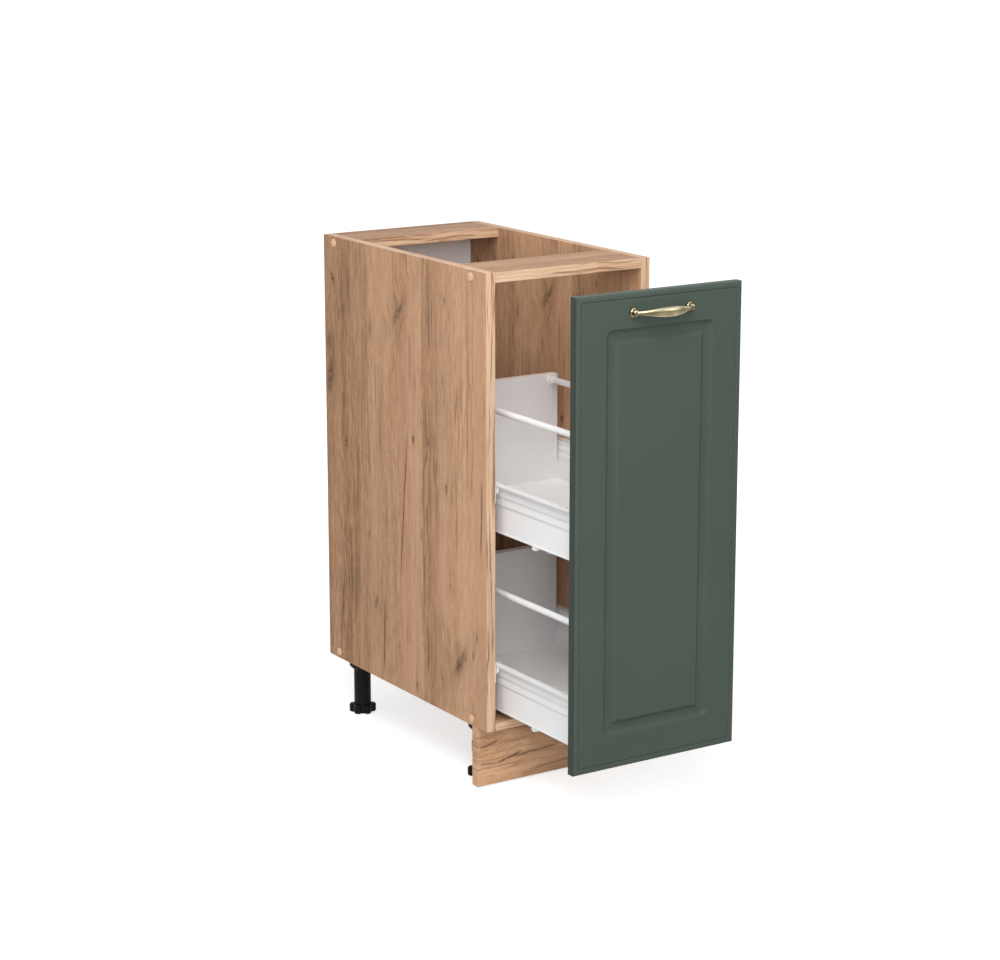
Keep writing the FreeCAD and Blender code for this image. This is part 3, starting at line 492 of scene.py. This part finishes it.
    def printed(self, knots=(), cracks=(), bands=(), patches=(), edged=True):
        """The finished material, with the marks placed on its boards."""
        core, halo = self.mark_knots(knots)
        crack = self.mark_cracks(cracks)
        smear = self.mark_patches(patches)
        layers = {name: self.streak(self.bent, name) for name in ("streaks", "short", "fibres")}
        layers.update({name: self.streak(self.across, name) for name in ("speck", "grit")})
        fibres, speck = layers["fibres"], layers["speck"]
        lines = self.streak(self.bent, "lines")
        tone = self.tone(layers, lines, bands, smear)
        colour = self.tinted(tone, fibres, smear)
        colour = self.mix(self.times(halo, self.mask(lines, "halo_lines")), colour, OAK_BROWN)
        dark = self.dark_marks(crack, smear, speck)
        dark = self.most(dark, self.times(core, self.mask(speck, "core_specks")))
        colour = self.mix(dark, colour, OAK_CRACK)
        if edged:
            on_face = self.mask(self.size(self.facing), "face")
            colour = self.mix(on_face, self.edge_band(), colour)
        height = self.add(self.times(fibres, FIBRE_HEIGHT), self.times(dark, MARK_HEIGHT))
        return self.finish(
            Base_Color=colour,
            Roughness=self.mask(tone, "roughness"),
            Specular_IOR_Level=MATTE_SPECULAR,
            Normal=self.bump(height, *OAK_BUMP),
        )


# Painted, moulded and metal finishes

# Drifting colours: two tones, waves a metre of the drift between them, its detail
POWDER_WHITE = (rgb(0.78, 0.78, 0.785), grey(0.81), 9.0, 3.0)
BASE_WHITE = (rgb(0.935, 0.93, 0.925), rgb(0.95, 0.945, 0.94), 14.0, 3.0)
# Drawer backs: a darker copy of the drawer bases' white, as painted shade.
BACK_WHITE_PAINTED_SHADE = (rgb(0.68, 0.668, 0.668), rgb(0.71, 0.698, 0.698), 14.0, 3.0)
LACQUER_WHITE = (grey(0.88), grey(0.91), 8.0, 3.0)
FILM_GREEN = (rgb(0.0565, 0.0752, 0.0613), rgb(0.0620, 0.0818, 0.0667), 5.0, 2.0)
FILM_WHITE = (rgb(0.76, 0.76, 0.75), rgb(0.79, 0.79, 0.785), 12.0, 3.0)
NYLON_WHITE = (rgb(0.80, 0.80, 0.79), rgb(0.84, 0.84, 0.83), 60.0, 3.0)
PLASTIC_BLACK = (rgb(0.004, 0.004, 0.0043), rgb(0.006, 0.006, 0.0063), 60.0, 3.0)
CAP_BROWN = (rgb(0.66, 0.415, 0.245), rgb(0.70, 0.445, 0.265), 60.0, 3.0)

# Fine skins: waves a metre, detail, roughness from and to, bump strength and depth
POWDER_SKIN = (900.0, 2.0, (0.32, 0.42), (0.10, 0.0002))
BOARD_SKIN = (1400.0, 2.0, (0.42, 0.52), (0.12, 0.0002))
FILM_SKIN = (1600.0, 2.0, (0.44, 0.54), (0.08, 0.00015))
NYLON_SKIN = (700.0, 3.0, (0.38, 0.5), (0.12, 0.0002))
BLACK_SKIN = (700.0, 3.0, (0.42, 0.58), (0.12, 0.0002))
CAP_SKIN = (700.0, 3.0, (0.22, 0.32), (0.12, 0.0002))
PLASTIC_SPECULAR = 0.4

# Edges and backs of boards: how far a face is turned, from and to
EDGE_TURN = (0.8, 0.95)
FILM_SIDE_SHADE_TURN = (0.8, 0.97)
FILM_BACK_TURN = (0.7, 0.95)
LACQUER_TURN = (-0.9, -0.6)
BACK_EDGE = rgb(0.88, 0.80, 0.75)
# Darker colour on the film's sides, and how much of it: painted shade.
FILM_SIDE_SHADE = rgb(0.026, 0.035, 0.028)
FILM_SIDE_SHADE_SHARE = 0.75

# Bare hardboard: waves a metre, detail and roughness of its noise, tones, shares
FIBRE_FLECK = (420.0, 4.0, 0.65)
FIBRE_DRIFT = (22.0, 3.0)
FIBRE_TONES = ((0.35, rgb(0.15, 0.085, 0.045)), (0.6, rgb(0.30, 0.185, 0.105)))
FIBRE_CLOUD = rgb(0.20, 0.12, 0.07)
FIBRE_CLOUD_SHARE = 0.35
FIBRE_ROUGHNESS = 0.78
FIBRE_BUMP = (0.2, 0.0003)
LACQUER_ROUGHNESS = 0.4

# Metals: the brass carries painted highlights on slopes that face up or down, so far and no further
BRASS_TONES = (
    (0.05, rgb(0.055, 0.045, 0.023)),
    (0.28, rgb(0.200, 0.170, 0.092)),
    (0.52, rgb(0.375, 0.332, 0.215)),
    (0.80, rgb(0.660, 0.625, 0.500)),
)
BRASS_UPPER_SHEEN_TURN = ((0.10, 0.50), (0.72, 0.95))
BRASS_LOWER_SHEEN_TURN = ((-0.95, -0.75), (-0.60, -0.30))
BRASS_UPPER_SHEEN = 0.40
BRASS_LOWER_SHEEN = 0.26
BRASS_CLOUD = 0.60
BRASS_AWAY = 0.24
BRASS_DRIFT = (55.0, 1.0)
BRASS_SCRATCH = (90.0, 900.0, 900.0)
BRASS_ROUGHNESS = (0.20, 0.32)
BRASS_BUMP = (0.06, 0.0002)
ZINC_TONES = ((0.35, rgb(0.50, 0.50, 0.51)), (0.65, rgb(0.68, 0.67, 0.64)))
ZINC_DRIFT = (320.0, 3.0)
ZINC_ROUGHNESS = (0.28, 0.42)


def mottled(g, base, spot, scale, detail):
    """A colour that drifts a little over the surface."""
    return g.mix(g.drift(g.noise(g.place, scale, detail)), base, spot)


def skinned(g, colour, skin, **inputs):
    """A colour under a fine skin, which shows in its roughness and bump."""
    scale, detail, roughness, bump = skin
    noise = g.noise(g.place, scale, detail)
    return g.finish(
        Base_Color=colour,
        Roughness=g.drift(noise, *roughness),
        Normal=g.bump(noise, *bump),
        **inputs,
    )


def powder_coat():
    g = Graph("white_powder_coat")
    return skinned(g, mottled(g, *POWDER_WHITE), POWDER_SKIN)


def melamine(name, white, edge=None):
    """White board, with edges of another colour where one is given."""
    g = Graph(name)
    colour = mottled(g, *white)
    if edge:
        facing = g.split(g.normal)[1]
        colour = g.mix(g.span(g.size(facing), *EDGE_TURN), edge, colour)
    return skinned(g, colour, BOARD_SKIN)


def moulded(name, tones, skin, specular=PLASTIC_SPECULAR):
    g = Graph(name)
    return skinned(g, mottled(g, *tones), skin, Specular_IOR_Level=specular)


def green_film():
    """Matte film over the front of the routed board, darker on its sides as painted shade, and
    white behind.
    """
    g = Graph("green_film")
    sideways, backwards, _ = g.split(g.normal)
    # The sides darkened: painted shade.
    side_shade = g.span(g.size(sideways), *FILM_SIDE_SHADE_TURN, 0.0, FILM_SIDE_SHADE_SHARE)
    green = g.mix(side_shade, mottled(g, *FILM_GREEN), FILM_SIDE_SHADE)
    behind = g.span(backwards, *FILM_BACK_TURN)
    colour = g.mix(behind, green, mottled(g, *FILM_WHITE))
    return skinned(g, colour, FILM_SKIN, Specular_IOR_Level=MATTE_SPECULAR)


def hardboard():
    """Thin back board: white lacquer inside, bare brown fibre on the wall side and the edges."""
    g = Graph("back_hardboard")
    fleck = g.noise(g.place, *FIBRE_FLECK)
    cloud = g.drift(g.noise(g.place, *FIBRE_DRIFT), 0.0, FIBRE_CLOUD_SHARE)
    fibre = g.mix(cloud, g.ramp(fleck, FIBRE_TONES), FIBRE_CLOUD)
    inside = g.span(g.split(g.normal)[1], *LACQUER_TURN, 1.0, 0.0)
    return g.finish(
        Base_Color=g.mix(inside, fibre, mottled(g, *LACQUER_WHITE)),
        Roughness=g.span(inside, 0.0, 1.0, FIBRE_ROUGHNESS, LACQUER_ROUGHNESS),
        Normal=g.bump(fleck, *FIBRE_BUMP),
    )


def antique_brass():
    """Satin brass, with painted highlights on its slopes that face up and down, and browner towards
    the door.
    """
    g = Graph("antique_brass")
    axes = g.split(g.place)
    upward = g.split(g.normal)[2]

    def slope(rise, fall):
        return g.times(g.span(upward, *rise), g.span(upward, *fall, 1.0, 0.0))

    # Painted highlights on slopes that face up or down, plus a random cloud and a darkening towards
    # the door.
    sheen_and_tone = g.add(
        g.times(slope(*BRASS_UPPER_SHEEN_TURN), BRASS_UPPER_SHEEN),
        g.times(slope(*BRASS_LOWER_SHEEN_TURN), BRASS_LOWER_SHEEN),
        g.times(g.noise(g.place, *BRASS_DRIFT), BRASS_CLOUD),
    )
    sheen_and_tone = g.less(sheen_and_tone, g.span(axes[1], handle_front, door_front, 0.0, BRASS_AWAY))
    spot = g.vector(*[g.times(axis, scale) for axis, scale in zip(axes, BRASS_SCRATCH)])
    scratch = g.noise(spot, 1.0)
    return g.finish(
        Base_Color=g.ramp(sheen_and_tone, BRASS_TONES),
        Metallic=1.0,
        Roughness=g.drift(scratch, *BRASS_ROUGHNESS),
        Normal=g.bump(scratch, *BRASS_BUMP),
    )


def zinc():
    g = Graph("zinc_plate")
    cloud = g.noise(g.place, *ZINC_DRIFT)
    return g.finish(
        Base_Color=g.ramp(cloud, ZINC_TONES),
        Metallic=1.0,
        Roughness=g.drift(cloud, *ZINC_ROUGHNESS),
    )


# Finishes of the CAD nodes

LEVELS = ("lower", "upper")
HANDS = ("left", "right")
CARCASS_SCREWS = ("connector_screws", "leg_screws", "plinth_clip_screws", "runner_screws")
FRONT_SCREWS = ("handle_screws", "front_bracket_screws")
DRAWER_SCREWS = ("drawer_base_screws", "drawer_back_screws")
PINS = ("front_roller_pins", "rear_roller_pins", "back_panel_nails")


def dress(material, *names):
    """Gives CAD nodes their finish."""
    for name in names:
        piece = nodes[name]
        if not piece.material_slots:
            piece.data.materials.append(material)
        for slot in piece.material_slots:
            slot.material = material


def on_levels(stem):
    return [stem + "_" + level for level in LEVELS]


def on_hands(*stems):
    return [stem + "_" + level + "_" + hand for stem in stems for level in LEVELS for hand in HANDS]


def from_front(marks):
    """Marks whose first value is a distance from the front edge, with that value as y."""
    return [(carcass_front + across, *rest) for across, *rest in marks]


def side_cracks():
    return [
        (carcass_front + top_across, top, carcass_front + low_across, low, strength)
        for top_across, top, low_across, low, strength in SIDE_CRACKS
    ]


def dress_boards():
    knots, patches = from_front(SIDE_KNOTS), from_front(SIDE_PATCHES)
    sides = Oak("oak_sides", "y", "z", "x", seed=1.7)
    sides = sides.printed(knots, side_cracks(), SIDE_BANDS, patches)
    dress(sides, "side_panel_left", "side_panel_right")
    # The rails and bottom panel take a darker copy of the oak: painted shade.
    rails = Oak("oak_rails_painted_shade", "y", "x", "z", seed=8.3, painted_light=0.80).printed()
    dress(rails, "top_rail_front", "top_rail_rear", "bottom_panel")
    # The plinth takes a lighter copy of the oak: painted light.
    plinth = Oak("oak_plinth_painted_light", "z", "x", "y", seed=21.9, painted_light=1.22, wave=2.2)
    dress(plinth.printed(cracks=PLINTH_CRACKS, edged=False), "plinth_board")
    dress(hardboard(), "back_panel")
    dress(melamine("white_melamine", BASE_WHITE), *on_levels("drawer_base"))
    # The drawer backs take a darker copy of the white melamine: painted shade.
    dress(melamine("white_melamine_painted_shade", BACK_WHITE_PAINTED_SHADE, BACK_EDGE), *on_levels("drawer_back"))
    dress(green_film(), "door_front")


def dress_fittings():
    dress(antique_brass(), "pull_handle")
    dress(powder_coat(), *on_hands("runner", "drawer_side", "gallery_rail", "front_bracket"))
    nylon = moulded("white_nylon", NYLON_WHITE, NYLON_SKIN)
    dress(nylon, "rail_sockets", "base_clips", *on_hands("front_roller", "rear_roller"))
    black = moulded("black_plastic", PLASTIC_BLACK, BLACK_SKIN, MATTE_SPECULAR)
    feet = ["foot_" + end + "_" + hand for end in ("front", "rear") for hand in HANDS]
    dress(black, "leg_sockets", "leg_tubes", "plinth_clips", *feet)
    dress(moulded("cap_plastic", CAP_BROWN, CAP_SKIN), "connector_caps")
    dress(zinc(), *CARCASS_SCREWS, *FRONT_SCREWS, *DRAWER_SCREWS, *PINS)


# Studio

FLOOR_DROP = 0.0004
FLOOR_HALF = 40.0
FLOOR_GLOW = 0.66
FLOOR_NEAR = 0.7
FLOOR_FAR = 2.2
FLOOR_TONES = (grey(0.60), grey(0.55))
FLOOR_ROUGHNESS = 0.9
WHITE = grey(1.0)
WORLD_LIGHT = 0.21

# Round soft lamps, aimed at the middle of the cabinet: place, width, watts
LAMPS = {
    "fill": ((-1.85, -2.9, 1.45), 1.5, 46.0),
    "key": ((-1.06, -1.84, 2.5), 1.6, 42.0),
    "high": ((-0.5, -1.2, 3.0), 1.6, 14.0),
    "left_high": ((-1.5, -0.4, 2.5), 1.6, 17.0),
    "left": ((-2.6, -0.8, 1.5), 1.6, 4.0),
    "right": ((1.5, -2.3, 1.9), 1.6, 13.0),
    "back": ((2.6, 0.8, 1.3), 1.6, 14.0),
    "rear": ((-0.5, 2.7, 1.4), 1.6, 10.0),
}

# The photo's view, without its lens shift: place, turn in degrees, focal length in pixels
CAMERA_PLACE = (-2.2025, -3.3457, 1.4168)
CAMERA_TURN = (76.575, 0.0, -32.758)
FOCAL_PIXELS = 2594.2
PHOTO_WIDTH = 1000.0
SENSOR = 36.0


def make_floor():
    """Pale floor that keeps the shadow and runs out into the white background."""
    g = Graph("floor_white")
    corners = [(-1, -1), (1, -1), (1, 1), (-1, 1)]
    points = [(x * FLOOR_HALF, y * FLOOR_HALF, -FLOOR_DROP) for x, y in corners]
    mesh = bpy.data.meshes.new("floor")
    mesh.from_pydata(points, [], [(0, 1, 2, 3)])
    floor = bpy.data.objects.new("floor", mesh)
    bpy.context.scene.collection.objects.link(floor)
    distance = g.node("ShaderNodeVectorMath", operation="LENGTH")
    g.put(distance.inputs[0], g.place)
    far = g.span(distance.outputs["Value"], FLOOR_NEAR, FLOOR_FAR)
    glow = g.add(FLOOR_GLOW, g.times(far, 1.0 - FLOOR_GLOW))
    mesh.materials.append(
        g.finish(
            Base_Color=g.mix(far, *FLOOR_TONES),
            Roughness=FLOOR_ROUGHNESS,
            Specular_IOR_Level=0.0,
            Emission_Color=WHITE,
            Emission_Strength=g.times(g.seen_directly(), glow),
        )
    )


def make_world():
    """Soft light from all round, behind a background that is seen as white."""
    world = bpy.data.worlds.new("studio")
    bpy.context.scene.world = world
    world.use_nodes = True
    tree = Tree(world.node_tree)
    background = tree.node("ShaderNodeBackground")
    tree.put(background.inputs["Color"], WHITE)
    strength = tree.span(tree.seen_directly(), 0.0, 1.0, WORLD_LIGHT, 1.0)
    tree.put(background.inputs["Strength"], strength)
    output = tree.node("ShaderNodeOutputWorld")
    tree.put(output.inputs["Surface"], background.outputs[0])


def make_lights():
    middle = (cad_low + cad_high) / 2
    for name, (place, width, power) in LAMPS.items():
        lamp = bpy.data.lights.new(name, "AREA")
        lamp.shape = "DISK"
        lamp.size = width
        lamp.energy = power
        holder = bpy.data.objects.new(name, lamp)
        holder.location = place
        holder.rotation_euler = (middle - Vector(place)).to_track_quat("-Z", "Y").to_euler()
        bpy.context.scene.collection.objects.link(holder)


def make_camera():
    lens = bpy.data.cameras.new("camera")
    lens.sensor_width = SENSOR
    lens.lens = FOCAL_PIXELS * SENSOR / PHOTO_WIDTH
    camera = bpy.data.objects.new("camera", lens)
    camera.location = CAMERA_PLACE
    camera.rotation_euler = Euler([math.radians(angle) for angle in CAMERA_TURN], "XYZ")
    bpy.context.scene.collection.objects.link(camera)
    bpy.context.scene.camera = camera


dress_boards()
dress_fittings()
make_floor()
make_world()
make_lights()
make_camera()
bpy.context.scene.view_settings.view_transform = "Standard"
